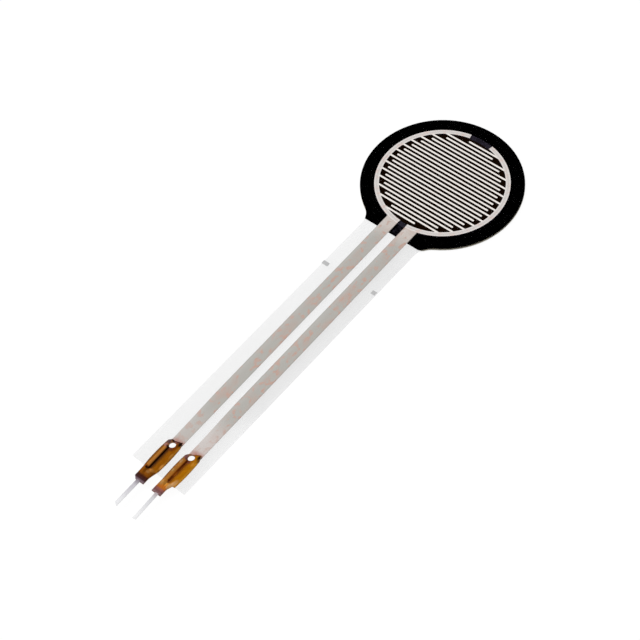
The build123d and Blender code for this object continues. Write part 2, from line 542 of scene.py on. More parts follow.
@dataclass(frozen=True)
class GrainedStuff:
    """A plain material with a grain, such as fibrous paper or tin plating with drag marks."""

    name: str
    tone: Colour
    grain_size: float
    grain_detail: float
    stretch: Triple
    grain_range: Pair
    shade: float
    roughness: Pair
    depth: float
    metallic: float = 0.0

    def make(self) -> Material:
        """Builds the material.

        Returns:
            The material.
        """
        draft = FinishDraft(self.name)
        grain = draft.noise(self.grain_size, self.grain_detail, self.stretch)
        darker = blended((0, 0, 0), self.tone, self.shade)
        draft.set(
            Base_Color=draft.mix(draft.level(grain, *self.grain_range, 0, 1), self.tone, darker),
            Metallic=self.metallic,
            Roughness=draft.level(grain, *self.grain_range, *self.roughness),
        )
        draft.bump(grain, self.depth)
        return draft.material


@dataclass(frozen=True)
class TerminalMetal:
    """Formed metal, coloured by the piece's own attribute of tarnish with painted highlight and shade, with
    streaks along the part.
    """

    name: str
    metallic: float
    roughness: float
    streak_share: float
    bump_depth: float
    streak_size: float = 0.16 * MM
    speck_size: float = 0.06 * MM
    sheen: float = 0.2

    def make(self) -> Material:
        """Builds the material.

        Returns:
            The material.
        """
        draft = FinishDraft(self.name)
        metal_colour = draft.add("ShaderNodeAttribute", {}, attribute_name=TARNISH_AND_PAINTED_LIGHT).outputs["Color"]
        streaks = draft.noise(self.streak_size, 4.0, (1, 0.28, 1))
        specks = draft.noise(self.speck_size, 3.0)
        shade = draft.varied(streaks, 1 - self.streak_share, 1 + self.streak_share)
        draft.set(
            Base_Color=draft.mix(1.0, metal_colour, draft.vector(shade, shade, shade), "MULTIPLY"),
            Metallic=self.metallic,
            Specular_IOR_Level=self.sheen,
            Roughness=draft.varied(specks, self.roughness - 0.08, self.roughness + 0.1),
        )
        draft.bump(draft.plus(draft.times(streaks, 2.0), specks), self.bump_depth)
        return draft.material


# Pieces made from the solids


def linked(name: str, data: Union[Mesh, bpy.types.Light, bpy.types.Camera]) -> Object:
    """Puts a new object in the scene.

    Args:
        name: The object's name.
        data: Its mesh, lamp or camera.

    Returns:
        The object.
    """
    item = bpy.data.objects.new(name, data)
    bpy.context.scene.collection.objects.link(item)
    return item


def kept_as(name: str, shape: bmesh.types.BMesh) -> Mesh:
    """Keeps a mesh under construction as a finished one.

    Args:
        name: The mesh's name.
        shape: The mesh under construction.

    Returns:
        The mesh.
    """
    mesh = bpy.data.meshes.new(name)
    shape.to_mesh(mesh)
    shape.free()
    return mesh


@dataclass(frozen=True)
class Skin:
    """How a CAD node is redrawn: sharp edges are eased, and faces drawn in a little from the neighbours."""

    edge: float
    inset: float
    flat_angle: float = math.radians(0.5)
    rim_angle: float = math.radians(60)
    edge_profile: float = 0.6
    level_from: float = 0.5

    def make(self, node: str, name: str) -> Object:
        """Copies a CAD node as a merged mesh with eased edges.

        Args:
            node: The CAD node's name.
            name: The new piece's name.

        Returns:
            The new object, in place of the node.
        """
        shape = bmesh.new()
        shape.from_mesh(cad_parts[node].data)
        bmesh.ops.remove_doubles(shape, verts=shape.verts, dist=TOLERANCE)
        bmesh.ops.dissolve_limit(
            shape, angle_limit=self.flat_angle, verts=shape.verts, edges=shape.edges, delimit={"NORMAL"}
        )
        bmesh.ops.recalc_face_normals(shape, faces=shape.faces)
        shape.normal_update()
        self._draw_in(shape)
        rims = [e for e in shape.edges if len(e.link_faces) == 2 and e.calc_face_angle() > self.rim_angle]
        bmesh.ops.bevel(
            shape, geom=rims, offset=self.edge, offset_type="OFFSET", segments=2,
            profile=self.edge_profile, affect="EDGES", clamp_overlap=True,
        )
        bmesh.ops.triangulate(shape, faces=[face for face in shape.faces if len(face.verts) > 4])
        return stand_in(kept_as(name, shape), name, node)

    def _draw_in(self, shape: bmesh.types.BMesh) -> None:
        """Moves each corner in from the walls and from the level faces that meet there.

        Args:
            shape: The mesh under construction.
        """
        for vert in shape.verts:
            normals = [face.normal for face in vert.link_faces]
            out = sum((n for n in normals if abs(n.z) < self.level_from), Vector((0, 0, 0)))
            levels = [n.z for n in normals if abs(n.z) > self.level_from]
            if out.length > 0:
                vert.co -= out.normalized() * self.inset
            if levels:
                vert.co.z -= math.copysign(self.inset, sum(levels))


def stand_in(mesh: Mesh, name: str, *nodes: str) -> Object:
    """Puts a finished mesh in the scene, in place of CAD nodes.

    Args:
        mesh: The mesh, with its place in its vertices.
        name: The piece's name.
        nodes: The CAD nodes that it stands for.

    Returns:
        The new object.
    """
    piece = linked(name, mesh)
    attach(piece, ROOT)
    if nodes:
        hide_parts(*nodes)
    log.info("%s: %d faces", name, len(mesh.polygons))
    return piece


@dataclass(frozen=True)
class EndTrim:
    """How far a layer under the head is drawn in at the tail end, and further at its right corner."""

    length: float
    corner: float
    start: float = 8.65 * MM
    end: float = 9.05 * MM
    corner_start: float = 2.0 * MM
    corner_end: float = 3.5 * MM

    def apply(self, mesh: Mesh) -> None:
        """Draws the layer's end in.

        Args:
            mesh: The layer.
        """
        for vert in mesh.vertices:
            near_end = ease(-self.start, -self.end, vert.co.y)
            vert.co.y += self.length * near_end
            near_corner = ease(self.corner_start, self.corner_end, vert.co.x)
            vert.co.x -= self.corner * near_end * near_corner


@dataclass
class Laminate:
    """The stack of films, adhesives and liner, from the liner up."""

    skin: Skin = Skin(edge=0.012 * MM, inset=0.002 * MM)
    trimmed: tuple[str, ...] = ("release_liner", "rear_adhesive")
    trim: EndTrim = EndTrim(0.24 * MM, 0.2 * MM)

    def build(self) -> None:
        """Builds and dresses each layer."""
        liner = GrainedStuff(
            "coated_liner", srgb(226, 222, 210), grain_size=0.35 * MM, grain_detail=6.0, stretch=(1, 3, 1),
            grain_range=(0.35, 0.65), shade=0.86, roughness=(0.45, 0.7), depth=0.006 * MM,
        )
        rear = ClearFilm("rear_glue", srgb(200, 190, 160), veil=0.35, roughness=0.4, wave=0.004 * MM)
        back = ClearFilm(
            "back_polyester", srgb(22, 22, 32), veil=0.056, roughness=0.15, wave=0.002 * MM, painted_shade=0.036
        )
        spacer = ClearFilm(
            "spacer_glue", srgb(10, 9, 8), veil=0.002, roughness=0.4, wave=0.003 * MM, sheen=0.05
        )
        top = ClearFilm(
            "top_polyester", srgb(6, 6, 8), veil=0.008, roughness=0.2, wave=0.002 * MM, sheen=0.05
        )
        layers = (
            ("release_liner", Slot.LINER, liner),
            ("rear_adhesive", Slot.ADHESIVE, rear),
            ("back_film", Slot.FILM, back),
            ("spacer_adhesive", Slot.ADHESIVE, spacer),
            ("electrode_film", Slot.FILM, top),
        )
        for node, slot, finish in layers:
            piece = self.skin.make(node, node + "_skin")
            if node in self.trimmed:
                self.trim.apply(piece.data)
            piece.data.materials.append(finish.make())


@dataclass
class FlatPrints:
    """The black print and the two register marks."""

    skin: Skin = Skin(edge=0.002 * MM, inset=0.001 * MM)
    bus_inner: float = 6.98 * MM
    bus_outer: float = 7.57 * MM
    vent_half: float = 0.35 * MM
    trim: EndTrim = EndTrim(0.02 * MM, 0.2 * MM)
    mark_trim: float = 0.05 * MM

    def build(self) -> None:
        """Builds and dresses the prints."""
        black = self.skin.make("semiconductor_ink", "carbon_print")
        self.trim.apply(black.data)
        ink = CarbonInk(
            "carbon", wet=srgb(1, 1, 1), worn=srgb(20, 9, 3), dry=srgb(44, 40, 50),
            ring_inner=self.bus_inner, ring_outer=self.bus_outer, vent_half=self.vent_half,
        )
        black.data.materials.append(ink.make())
        marks = self.skin.make("register_marks", "register_mark_prints")
        middle = (marks.bound_box[0][1] + marks.bound_box[6][1]) / 2
        for vert in marks.data.vertices:
            if vert.co.y > middle:
                vert.co.y -= self.mark_trim
        grey = SilverInk("grey_marks", srgb(196, 196, 196), srgb(176, 176, 178), 0.3)
        marks.data.materials.append(grey.make())


# Pieces grown by Geometry Nodes


class GrowthDraft(NodeDraft):
    """A Geometry Nodes tree under construction, with named inputs and the values that they get."""

    def __init__(self, name: str) -> None:
        """Makes the tree.

        Args:
            name: The tree's name.
        """
        super().__init__(bpy.data.node_groups.new(name, "GeometryNodeTree"))
        self.tree.interface.new_socket(name="Geometry", in_out="OUTPUT", socket_type="NodeSocketGeometry")
        self.entry = self.tree.nodes.new("NodeGroupInput")
        self.exit = self.tree.nodes.new("NodeGroupOutput")
        self.values: dict[str, object] = {}

    def input(self, name: str, value: Union[float, int, Material]) -> Socket:
        """Adds a named input to the tree.

        Args:
            name: The input's name.
            value: What the modifier sets it to.

        Returns:
            The socket that reads it.
        """
        kinds = {float: "NodeSocketFloat", int: "NodeSocketInt"}
        kind = kinds.get(type(value), "NodeSocketMaterial")
        item = self.tree.interface.new_socket(name=name, in_out="INPUT", socket_type=kind)
        self.values[item.identifier] = value
        return self.entry.outputs[name]

    def join(self, *parts: Socket) -> Socket:
        """Joins geometry.

        Args:
            parts: The geometry sockets.

        Returns:
            The joined geometry's socket.
        """
        node = self.tree.nodes.new("GeometryNodeJoinGeometry")
        for part in parts:
            self.tree.links.new(part, node.inputs[0])
        return node.outputs[0]

    def moved(self, geometry: Socket, position: Feed, selection: Feed = True) -> Socket:
        """Puts the selected points where a field says."""
        feeds = {"Geometry": geometry, "Position": position, "Selection": selection}
        return self.get("GeometryNodeSetPosition", feeds)

    def position(self) -> tuple[Socket, Socket, Socket]:
        """Gives the three numbers of each point's place."""
        return self.split(self.get("GeometryNodeInputPosition", {}))

    def row(self, count: Feed, start: Socket, step: Socket) -> Socket:
        """Sets points in a row, each a step from the last."""
        feeds = {"Count": count, "Start Location": start, "Offset": step}
        return self.get("GeometryNodeMeshLine", feeds, mode="OFFSET")

    def upright(self, path: Socket) -> Socket:
        """Keeps a path's sections from tilting."""
        return self.get("GeometryNodeSetCurveNormal", {"Curve": path}, mode="Z_UP")

    def swept(self, path: Socket, width: Socket, height: Socket, scale: Feed = 1.0) -> Socket:
        """Runs a rectangular section along a path, with closed ends.

        Args:
            path: The curve.
            width: Width of the section.
            height: Height of the section.
            scale: How much of the full section each point gets.

        Returns:
            The swept piece's socket.
        """
        section = self.get(
            "GeometryNodeCurvePrimitiveQuadrilateral", {"Width": width, "Height": height}, mode="RECTANGLE"
        )
        feeds = {"Curve": path, "Profile Curve": section, "Scale": scale, "Fill Caps": True}
        return self.get("GeometryNodeCurveToMesh", feeds)

    def shifted(self, geometry: Socket, way: Feed, turn: Triple = (0, 0, 0)) -> Socket:
        """Turns a whole piece about each axis, in radians, and then moves it."""
        feeds = {"Geometry": geometry, "Translation": way, "Rotation": turn}
        return self.get("GeometryNodeTransform", feeds)

    def painted(self, geometry: Socket, finish: Socket) -> Socket:
        """Realizes the instances and gives them a material."""
        real = self.get("GeometryNodeRealizeInstances", {0: geometry})
        return self.get("GeometryNodeSetMaterial", {"Geometry": real, "Material": finish})

    def grow(self, geometry: Socket, name: str) -> Mesh:
        """Runs the tree once and keeps its result as a plain mesh.

        Args:
            geometry: What the tree puts out.
            name: The mesh's name.

        Returns:
            The mesh.
        """
        self.tree.links.new(geometry, self.exit.inputs[0])
        carrier = linked(name + "_carrier", bpy.data.meshes.new(name + "_carrier"))
        modifier = carrier.modifiers.new("growth", "NODES")
        modifier.node_group = self.tree
        for identifier, value in self.values.items():
            modifier[identifier] = value
        graph = bpy.context.evaluated_depsgraph_get()
        mesh = bpy.data.meshes.new_from_object(
            carrier.evaluated_get(graph), preserve_all_data_layers=True, depsgraph=graph
        )
        mesh.name = name
        carrier.modifiers.remove(modifier)
        bpy.data.objects.remove(carrier)
        mesh.shade_flat()
        return mesh


@dataclass(frozen=True)
class Layer:
    """Where a print lies: its side of the comb, and its upper face and thickness."""

    side: Socket
    top: Socket
    thickness: Socket

    def middle(self, draft: GrowthDraft) -> Socket:
        """Finds the height of the print's middle."""
        return draft.minus(self.top, draft.times(self.thickness, 0.5))


@dataclass
class PrintedElectrode:
    """One silver electrode: fingers from a bus round half the comb, and a trace down the tail."""

    side: Side
    node: str
    seed: int
    bus_outer: float = 7.54 * MM
    bus_width: float = 0.53 * MM
    bus_steps: int = 96
    gap_angle: float = math.radians(22)
    tip_gap: float = 0.57 * MM
    tip_points: int = 28
    shortest_reach: float = 1.10 * MM
    finger_count: int = 26
    finger_width: float = 0.217 * MM
    trace_centre: float = 1.27 * MM
    trace_width: float = 1.52 * MM
    trace_start: float = 7.05 * MM
    trace_end: float = 46.6 * MM
    trace_steps: int = 40
    narrowing: float = 0.08
    drift: float = 0.06 * MM
    narrowing_start: float = 35.0 * MM
    narrowing_end: float = 42.5 * MM
    window_place: float = 43.85 * MM
    window_radius: float = 0.45 * MM
    window_depth: float = 1.0 * MM
    window_points: int = 64
    ragged: float = 0.03 * MM
    clearance: float = 0.002 * MM
    overlap_step: float = 0.002 * MM

    def build(self, fingers: Material, bus: Material, trace: Material) -> None:
        """Grows the print and puts it in place of its CAD node.

        Args:
            fingers: Finish of the fingers.
            bus: Finish of the bus.
            trace: Finish of the trace.
        """
        low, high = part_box(self.node)
        draft = GrowthDraft("electrode_" + self.side.name.lower())
        side = draft.input("Side", float(self.side.value))
        top = draft.input("Top", high.z - self.clearance)
        full = Layer(side, top, draft.input("Thickness", high.z - low.z - 2 * self.clearance))
        under = draft.minus(top, draft.input("Overlap Step", self.overlap_step))
        thin = Layer(side, under, draft.minus(full.thickness, draft.times(self.overlap_step, 2.0)))
        printed = draft.join(
            draft.painted(self._fingers(draft, thin), draft.input("Finger Finish", fingers)),
            draft.painted(self._bus(draft, full), draft.input("Bus Finish", bus)),
            draft.painted(self._trace(draft, thin), draft.input("Trace Finish", trace)),
        )
        piece = stand_in(draft.grow(printed, self.node + "_print"), self.node + "_print", self.node)

    def _fingers(self, draft: GrowthDraft, layer: Layer) -> Socket:
        """Makes every second row of the comb: a round tip whose other half is drawn out to the bus.

        Args:
            draft: The tree.
            layer: Where the fingers lie.

        Returns:
            The fingers' socket.
        """
        count = draft.input("Finger Count", self.finger_count)
        width = draft.input("Finger Width", self.finger_width)
        outer = draft.input("Bus Outer Radius", self.bus_outer)
        bus_width = draft.input("Bus Width", self.bus_width)
        comb = draft.minus(draft.minus(outer, bus_width), draft.input("Tip Gap", self.tip_gap))
        pitch = draft.math("DIVIDE", draft.times(comb, 2.0), draft.minus(count, 1.0))
        skipped = 0.0 if self.side is Side.RIGHT else 1.0
        rows = draft.row(
            draft.math("DIVIDE", count, 2.0),
            draft.vector(0.0, draft.minus(comb, draft.times(pitch, skipped)), layer.top),
            draft.vector(0.0, draft.times(pitch, -2.0), 0.0),
        )
        x, y, z = draft.position()
        squared = draft.times(y, y)
        beyond = draft.math("MAXIMUM", draft.minus(draft.times(comb, comb), squared), 0.0)
        shortest = draft.input("Shortest Reach", self.shortest_reach)
        reach = draft.math("MAXIMUM", draft.math("SQRT", beyond), shortest)
        tip = draft.minus(reach, draft.times(width, 0.5))
        ragged = draft.plus(tip, self._ragged(draft))
        tips = draft.moved(rows, draft.vector(draft.times(draft.times(layer.side, -1.0), ragged), y, z))
        rootward = draft.math("GREATER_THAN", draft.times(x, layer.side), TOLERANCE)
        dots = draft.get(
            "GeometryNodeInstanceOnPoints", {"Points": tips, "Instance": self._dot(draft, width, rootward)}
        )
        middle = draft.minus(outer, draft.times(bus_width, 0.5))
        root = draft.math("SQRT", draft.minus(draft.times(middle, middle), squared))
        is_root = draft.get("GeometryNodeInputNamedAttribute", {"Name": ROOTWARD}, data_type="FLOAT")
        drawn = draft.moved(
            draft.get("GeometryNodeRealizeInstances", {0: dots}),
            draft.vector(draft.times(layer.side, root), y, z),
            draft.math("GREATER_THAN", is_root, 0.5),
        )
        return self._thickened(draft, drawn, layer.thickness)

    def _ragged(self, draft: GrowthDraft) -> Socket:
        """Draws how far each tip stands out, at random.

        Args:
            draft: The tree.

        Returns:
            The distance's socket.
        """
        ragged = draft.input("Ragged Ends", self.ragged)
        seed = draft.input("Seed", self.seed)
        feeds = {2: draft.times(ragged, -1.0), 3: ragged, "Seed": seed}
        return draft.add("FunctionNodeRandomValue", feeds, data_type="FLOAT").outputs[1]

    def _dot(self, draft: GrowthDraft, width: Socket, rootward: Socket) -> Socket:
        """Makes a finger's round end, and marks the half of it that is drawn out to the bus.

        Args:
            draft: The tree.
            width: The finger's width.
            rootward: Which points face the bus.

        Returns:
            The disc's socket.
        """
        sizes = {"Vertices": self.tip_points, "Radius": draft.times(width, 0.5)}
        disc = draft.get("GeometryNodeMeshCircle", sizes, fill_type="NGON")
        feeds = {"Geometry": disc, "Name": ROOTWARD, "Value": rootward}
        return draft.get("GeometryNodeStoreNamedAttribute", feeds, data_type="FLOAT", domain="POINT")

    def _thickened(self, draft: GrowthDraft, flat: Socket, thickness: Socket) -> Socket:
        """Gives flat faces a closed body below them.

        Args:
            draft: The tree.
            flat: The faces.
            thickness: How thick the body is.

        Returns:
            The body's socket.
        """
        feeds = {
            "Mesh": draft.get("GeometryNodeFlipFaces", {0: flat}),
            "Offset": draft.vector(0.0, 0.0, draft.times(thickness, -1.0)),
            "Offset Scale": 1.0,
            "Individual": False,
        }
        below = draft.get("GeometryNodeExtrudeMesh", feeds, mode="FACES")
        joined = {"Geometry": draft.join(flat, below), "Distance": TOLERANCE}
        closed = draft.get("GeometryNodeMergeByDistance", joined)
        return draft.get("GeometryNodeRemoveAttribute", {"Geometry": closed, "Name": ROOTWARD})

    def _bus(self, draft: GrowthDraft, layer: Layer) -> Socket:
        """Makes the bus, an arc from the gap at the head's far end to the trace.

        Args:
            draft: The tree.
            layer: Where the bus lies.

        Returns:
            The bus's socket.
        """
        middle = self.bus_outer - self.bus_width / 2
        inner_edge = self.trace_centre - self.trace_width / 2
        start = -math.pi / 2 + math.asin(inner_edge / middle)
        feeds = {
            "Resolution": draft.input("Bus Steps", self.bus_steps),
            "Radius": draft.input("Bus Middle Radius", middle),
            "Start Angle": draft.input("Bus Start", start),
            "Sweep Angle": draft.input("Bus Sweep", math.pi / 2 - self.gap_angle / 2 - start),
        }
        arc = draft.get("GeometryNodeCurveArc", feeds, mode="RADIUS")
        x, y, _ = draft.position()
        path = draft.moved(arc, draft.vector(draft.times(x, layer.side), y, layer.middle(draft)))
        width = draft.input("Bus Print Width", self.bus_width)
        return draft.swept(draft.upright(path), width, layer.thickness)

    def _trace(self, draft: GrowthDraft, layer: Layer) -> Socket:
        """Makes the trace, straight down the tail from the bus to under the terminal.

        Args:
            draft: The tree.
            layer: Where the trace lies.

        Returns:
            The trace's socket.
        """
        across = draft.times(layer.side, draft.input("Trace Centre", self.trace_centre))
        height = layer.middle(draft)
        ends = {
            "Start": draft.vector(across, draft.input("Trace Start", -self.trace_start), height),
            "End": draft.vector(across, draft.input("Trace End", -self.trace_end), height),
        }
        line = draft.get("GeometryNodeCurvePrimitiveLine", ends)
        steps = draft.input("Trace Steps", self.trace_steps)
        path = draft.get("GeometryNodeResampleCurve", {"Curve": line, "Count": steps})
        x, y, z = draft.position()
        narrowing_start = draft.input("Narrowing Start", -self.narrowing_start)
        narrowing_end = draft.input("Narrowing End", -self.narrowing_end)
        near_end = draft.level(y, narrowing_start, narrowing_end, 0.0, 1.0)
        drift = draft.times(near_end, draft.input("Drift", self.drift))
        drifted = draft.moved(path, draft.vector(draft.plus(x, drift), y, z))
        scale = draft.minus(1.0, draft.times(near_end, draft.input("Narrowing", self.narrowing)))
        width = draft.input("Trace Width", self.trace_width)
        ribbon = draft.swept(draft.upright(drifted), width, layer.thickness, scale)
        radius = draft.input("Window Radius", self.window_radius)
        punch = draft.get(
            "GeometryNodeMeshCylinder",
            {"Vertices": self.window_points, "Radius": radius, "Depth": self.window_depth},
        )
        at_hole = draft.vector(across, draft.input("Window Place", -self.window_place), height)
        return draft.get(
            "GeometryNodeMeshBoolean", {"Mesh 1": ribbon, "Mesh 2": draft.shifted(punch, at_hole)},
            operation="DIFFERENCE", solver="EXACT",
        )


# Terminals


@dataclass(frozen=True)
class Forming:
    """How one terminal came out of the press, measured from its trace's middle line."""

    body_left: float
    body_right: float
    left_corner: float
    head_drop: float
    seam_top: float
    seam_foot: float
    shank_left: float
    shank_right: float
    shoulder_start: float
    shoulder_end: float
    shoulder_step: float
    corner_cut: float
    seam_depth: float
    hook_angle: float
    pin_place: float
    pin_width: float
    pin_turn: float
    tip_slant: float


@dataclass(frozen=True)
class Band:
    """A change of the metal's colour down the part, between two places in millimetres."""

    start: float
    end: float
    colour: Colour

    def over(self, under: Colour, down: float) -> Colour:
        """Gives the colour at a place down the part, over the colour that was there."""
        return blended(under, self.colour, ease(self.start, self.end, down))


@dataclass(frozen=True)
class Patch:
    """A soft oval of colour, placed across and down the part in millimetres; most are stains, one a painted
    highlight.
    """

    across: float
    down: float
    half_across: float
    half_down: float
    colour: Colour
    share: float = 1.0
    fade: Pair = (1.4, 0.35)

    def over(self, under: Colour, across: float, down: float) -> Colour:
        """Gives the colour at a place in millimetres, over the colour that was there."""
        gap = math.hypot((across - self.across) / self.half_across, (down - self.down) / self.half_down)
        return blended(under, self.colour, self.share * ease(*self.fade, gap))


@dataclass(frozen=True)
class TarnishAndPaintedLight:
    """The colours painted on one terminal: its tarnish, with painted highlight and shade."""

    # bead is the bead's tan, with a painted highlight along its crest; bead_side_shade is painted shade on
    # its slopes
    bead: Colour
    bead_side_shade: Colour
    field: Colour
    # shade is painted shade beside the seam, seam is painted shade in its groove, rim is lighter towards the
    # right edge
    shade: Colour
    rim: Colour
    seam: Colour
    head: Colour
    head_share: float
    bands: tuple[Band, ...]
    patches: tuple[Patch, ...]
    seam_patches: tuple[Patch, ...]
    pin_root: Colour
    pin_middle: Colour
    pin_tip: Colour


@dataclass
class Terminal:
    """One formed terminal: a rolled plate on the film, a shoulder and shank, a pin, and folded tines."""

    side: Side
    node: str
    forming: Forming
    # Its colours: tarnish, with painted highlight and shade
    tarnish: TarnishAndPaintedLight
    centre: float = 1.27 * MM
    sheet: float = 0.20 * MM
    body_start: float = 43.15 * MM
    body_end: float = 47.45 * MM
    shank_end: float = 49.05 * MM
    pin_end: float = 52.59 * MM
    horn_reach: float = 0.17 * MM
    head_edge_dip: float = 0.16 * MM
    right_corner: float = 0.34 * MM
    corner_drop: float = 0.46 * MM
    bow: float = 0.09 * MM
    taper_start: float = 46.4 * MM
    cut_length: float = 0.30 * MM
    bead_rise: float = 0.128 * MM
    crown_rise: float = 0.11 * MM
    seam_width: float = 0.18 * MM
    seam_end: float = 47.18 * MM
    hook_radius: float = 0.20 * MM
    hole_radius: float = 0.375 * MM
    hole_place: float = 43.85 * MM
    hole_across: float = 0.02 * MM
    rim: float = 0.07 * MM
    lip_share: float = 0.7
    wall_light_share: float = 0.7
    columns: int = 96
    rows: int = 240
    plate_lift: float = 0.001 * MM
    step_length: float = 0.06 * MM
    swell_fade: float = 0.25 * MM
    groove_share: float = 0.6
    seam_shade_fade: Pair = (1.15, 0.3)
    seam_side_shade_fade: Pair = (0.06 * MM, 0.74 * MM)
    rim_fade: Pair = (0.26 * MM, 0.04 * MM)
    bead_highlight_fade: Pair = (0.26 * MM, 0.06 * MM)
    bead_place: float = 0.66
    bead_end: Pair = (0.04 * MM, -0.08 * MM)
    head_fade: Pair = (0.24 * MM, 0.06 * MM)
    clearance: float = 0.002 * MM
    pin_steps: int = 60
    pin_easing: float = 0.02 * MM
    pin_slope: float = 0.3
    pin_overlap: float = 0.05 * MM
    pin_undercut: float = 0.08 * MM
    pin_middle_stain: Pair = (0.0, 0.22)
    pin_tip_stain: Pair = (0.15, 0.9)
    tip_from: float = 0.7
    wall_light_gain: float = 0.6
    smooth_angle: float = math.radians(55)
    tine_count: int = 3
    tine_pitch: float = 1.00 * MM
    tine_first: float = 44.55 * MM
    tine_length: float = 0.62 * MM
    tine_spread: float = 0.60 * MM
    tine_bend: float = 0.11 * MM
    tine_lift: float = 0.02 * MM
    bend_steps: int = 6
    foot_reach: float = 0.52 * MM
    film_top: float = field(init=False, default=0.0)
    film_underside: float = field(init=False, default=0.0)

    def build(self, plate_metal: Material, pin_metal: Material, tine_metal: Material) -> None:
        """Builds the terminal and puts it in place of its CAD node.

        Args:
            plate_metal: Finish of the plate and shank.
            pin_metal: Finish of the pin.
            tine_metal: Finish of the tines.
        """
        self.film_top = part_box("electrode_film")[1].z
        self.film_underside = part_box("back_film")[0].z
        x = self.side.value * self.centre
        plate = self._plate(x)
        plate.materials.append(plate_metal)
        stand_in(plate, self.node + "_plate", self.node)
        pin = self._pin(x)
        pin.materials.append(pin_metal)
        stand_in(pin, self.node + "_pin")
        stand_in(self._tines(x, tine_metal), self.node + "_tines")

    def _edges(self, reach: float) -> Pair:
        """Finds the plate's two sides: bowed beside the body, then drawn in to the shank.

        Args:
            reach: How far down the part the row lies.

        Returns:
            The left and right side, from the trace's middle line.
        """
        form = self.forming
        top = self.body_start + self.corner_drop
        along = clamped((reach - top) / (self.body_end - top))
        drawn = self.bow * (2 * along - 1) ** 2
        taper = ease(self.taper_start, form.shoulder_end, reach)
        step = form.shoulder_step * ease(form.shoulder_start, form.shoulder_start + self.step_length, reach)
        slope = (1 - form.shoulder_step) * ease(form.shoulder_start, form.shoulder_end, reach)
        left = form.body_left + drawn + (form.shank_left - form.body_left - self.bow) * taper
        right = form.body_right - drawn - (form.body_right - self.bow - form.shank_right) * (step + slope)
        if reach < top:
            left += (top - reach) / self.corner_drop * (form.left_corner - self.bow)
            right -= (top - reach) / (self.corner_drop + self.horn_reach) * (self.right_corner - self.bow)
        cut = max(reach - self.shank_end + self.cut_length, 0) / self.cut_length
        return left + form.corner_cut * cut, right

    def _head_edge(self, share: float) -> float:
        """Finds how far down the plate's head edge lies at a share of its width, between two horns."""
        straight = self.body_start - self.horn_reach * share + self.forming.head_drop * (1 - share) ** 3
        return straight + self.head_edge_dip * arch(share)

    def _seam(self, reach: float) -> float:
        """Finds the seam's place across, on its straight run from the hole to its hook."""
        along = clamped((reach - self.hole_place) / (self.seam_end - self.hole_place))
        return self.forming.seam_top + (self.forming.seam_foot - self.forming.seam_top) * along

    def _seam_gap(self, u: float, reach: float) -> float:
        """Measures how far a point is from the seam's middle line.

        Args:
            u: Place across, from the trace's middle line.
            reach: How far down the part the point lies.

        Returns:
            The distance.
        """
        seam = self._seam(reach)
        if reach < self.seam_end:
            return math.hypot(u - seam, max(self.hole_place - reach, 0))
        centre = seam - self.hook_radius
        angle = math.atan2(reach - self.seam_end, u - centre)
        if 0 <= angle <= self.forming.hook_angle:
            return abs(math.hypot(u - centre, reach - self.seam_end) - self.hook_radius)
        end_u = centre + self.hook_radius * math.cos(self.forming.hook_angle)
        end_v = self.seam_end + self.hook_radius * math.sin(self.forming.hook_angle)
        return math.hypot(u - end_u, reach - end_v)

    def _rise(self, u: float, reach: float, left: float, right: float) -> float:
        """Gives the plate's height over the film.

        Args:
            u: Place across, from the trace's middle line.
            reach: How far down the part the point lies.
            left: The plate's left side there.
            right: The plate's right side there.

        Returns:
            The height in metres.
        """
        fade = 1 - ease(self.body_end - self.swell_fade, self.forming.shoulder_end, reach)
        seam = self._seam(reach)
        if u < seam:
            swell = self.bead_rise * arch(clamped((u - left) / (seam - left)))
        else:
            swell = self.crown_rise * arch(clamped((u - seam) / (right - seam)))
        groove = 1 - ease(0, self.seam_width * self.groove_share, self._seam_gap(u, reach))
        return self.sheet + swell * fade - groove * self.forming.seam_depth

    def _tarnish_and_painted_light(self, u: float, reach: float, left: float, right: float) -> Colour:
        """Gives the metal's colour: its tarnish, with painted highlight and shade.

        Args:
            u: Place across, from the trace's middle line.
            reach: How far down the part the point lies.
            left: The plate's left side there.
            right: The plate's right side there.

        Returns:
            The linear colour.
        """
        look = self.tarnish
        seam = self._seam(reach)
        # Painted shade beside the seam, giving way to the field's own colour, and lighter towards the right
        # edge
        colour = blended(look.shade, look.field, ease(*self.seam_side_shade_fade, u - seam))
        colour = blended(colour, look.rim, ease(*self.rim_fade, right - u))
        # Painted highlight along the bead's crest, painted shade on its slopes
        from_bead = abs(u - left - self.bead_place * (seam - left))
        bead = blended(look.bead_side_shade, look.bead, ease(*self.bead_highlight_fade, from_bead))
        colour = blended(colour, bead, ease(*self.bead_end, u - seam))
        for band in look.bands:
            colour = band.over(colour, reach / MM)
        for patch in look.patches:
            colour = patch.over(colour, u / MM, reach / MM)
        share = (u - left) / max(right - left, self.rim)
        from_edge = reach - self._head_edge(share)
        colour = blended(colour, look.head, look.head_share * ease(*self.head_fade, from_edge))
        # Painted shade in the seam's groove
        from_seam = self._seam_gap(u, reach) / self.seam_width
        colour = blended(colour, look.seam, ease(*self.seam_shade_fade, from_seam))
        for patch in look.seam_patches:
            colour = patch.over(colour, u / MM, reach / MM)
        return colour

